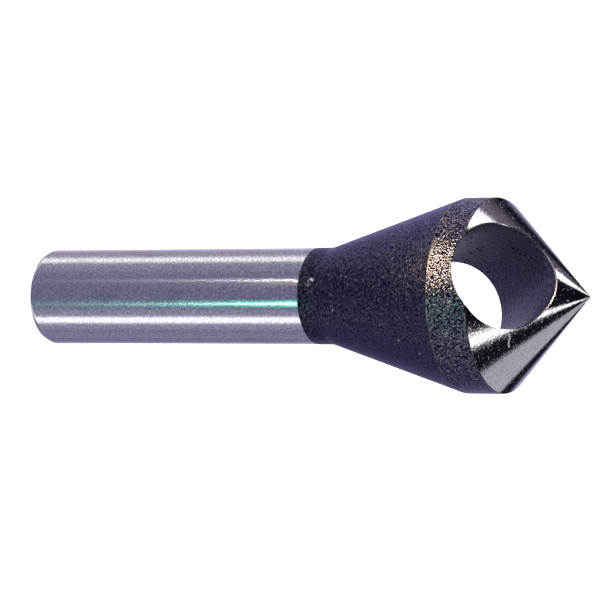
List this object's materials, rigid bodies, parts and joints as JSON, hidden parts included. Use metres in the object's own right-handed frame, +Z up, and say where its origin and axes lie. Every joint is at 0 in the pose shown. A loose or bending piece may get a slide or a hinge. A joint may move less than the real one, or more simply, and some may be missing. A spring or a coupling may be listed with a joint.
{
  "type": "countersink bit",
  "caption": "Countersink and deburring bit: plain round shank, head flaring to a cylindrical land, relief-ground 90 degree cone, and a slanted cross hole whose rim in the cone cuts.",
  "frame": {"origin": "centre of the shank's flat end face, which the bit stands on", "axes": "+Z up the bit's axis from the shank's end to the point; the cross hole's mouth is in the cone towards -Y and it leaves the back of the head towards +Y; the high, cutting side of the relief is towards +X"},
  "size_m": [0.02, 0.02, 0.0633],
  "materials": {
    "tool_steel": "ground shank and cone, black oxide head"
  },
  "bodies": {
    "root": {"countersink_bit": "tool_steel"}
  },
  "joints": []
}
